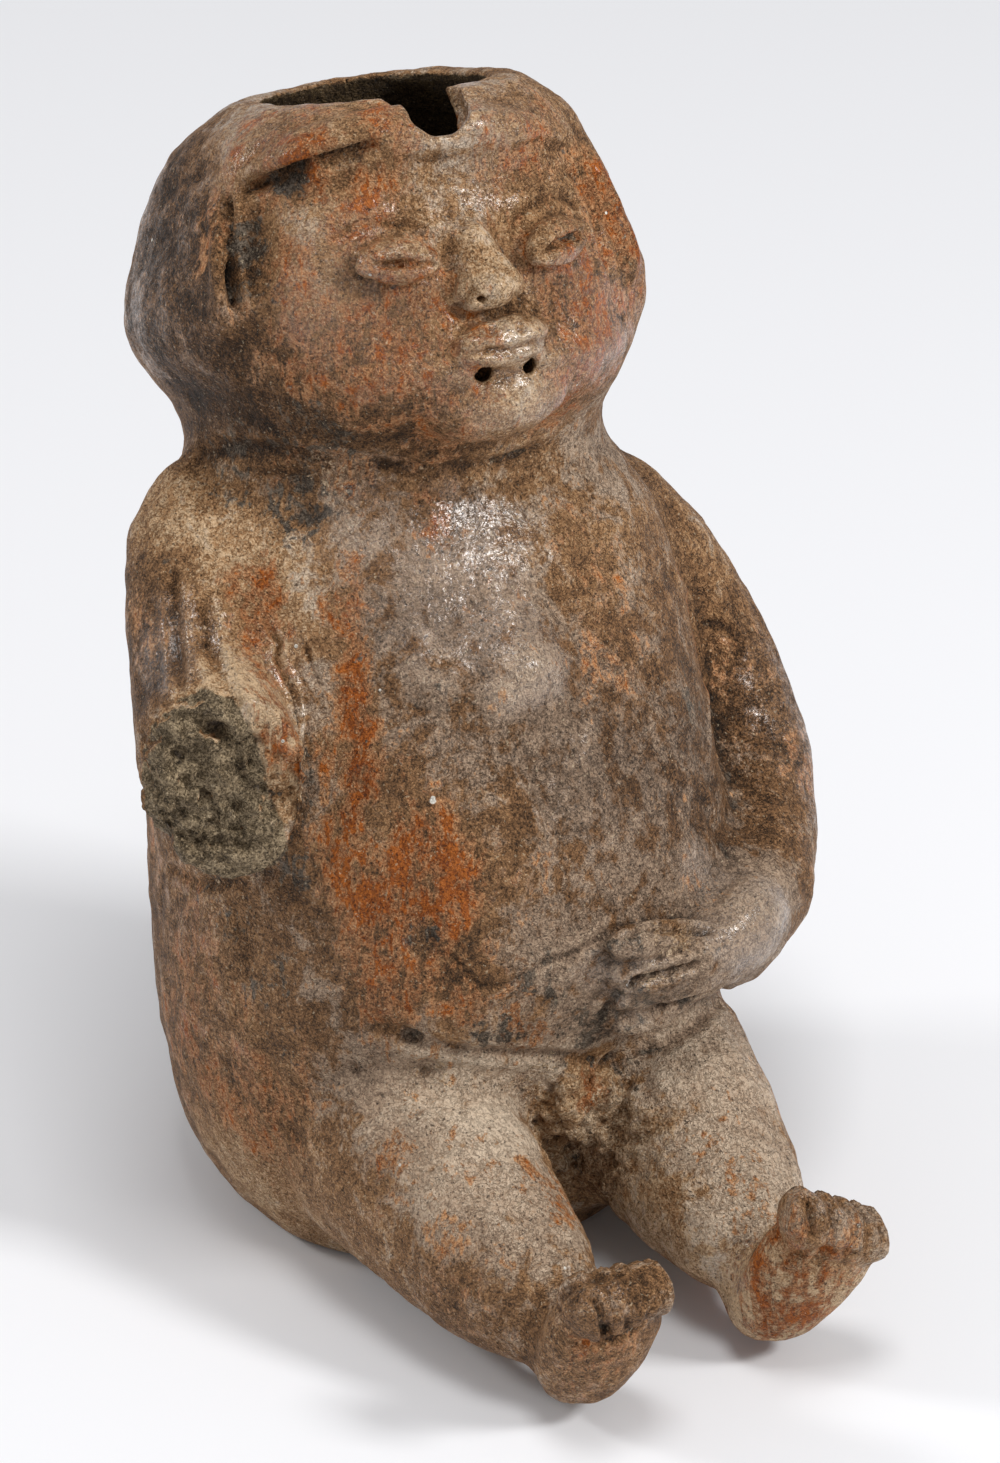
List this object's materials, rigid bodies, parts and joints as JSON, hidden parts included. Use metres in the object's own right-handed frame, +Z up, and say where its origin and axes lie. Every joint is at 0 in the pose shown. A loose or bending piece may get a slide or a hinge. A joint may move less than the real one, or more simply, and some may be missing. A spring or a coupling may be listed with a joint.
{
  "type": "seated effigy vessel",
  "caption": "Hollow seated human-effigy vessel in burnished fired clay, open at the crown, an arm folded to the belly and short legs forward; stands on its seat and holds liquid.",
  "frame": {"origin": "middle of the flat seat, on the ground", "axes": "+Z up, the figure faces -Y, +X towards its own left"},
  "size_m": [0.1201, 0.1404, 0.1894],
  "materials": {
    "fired_clay": "satin"
  },
  "bodies": {
    "root": {"figure_vessel": "fired_clay"}
  },
  "joints": []
}
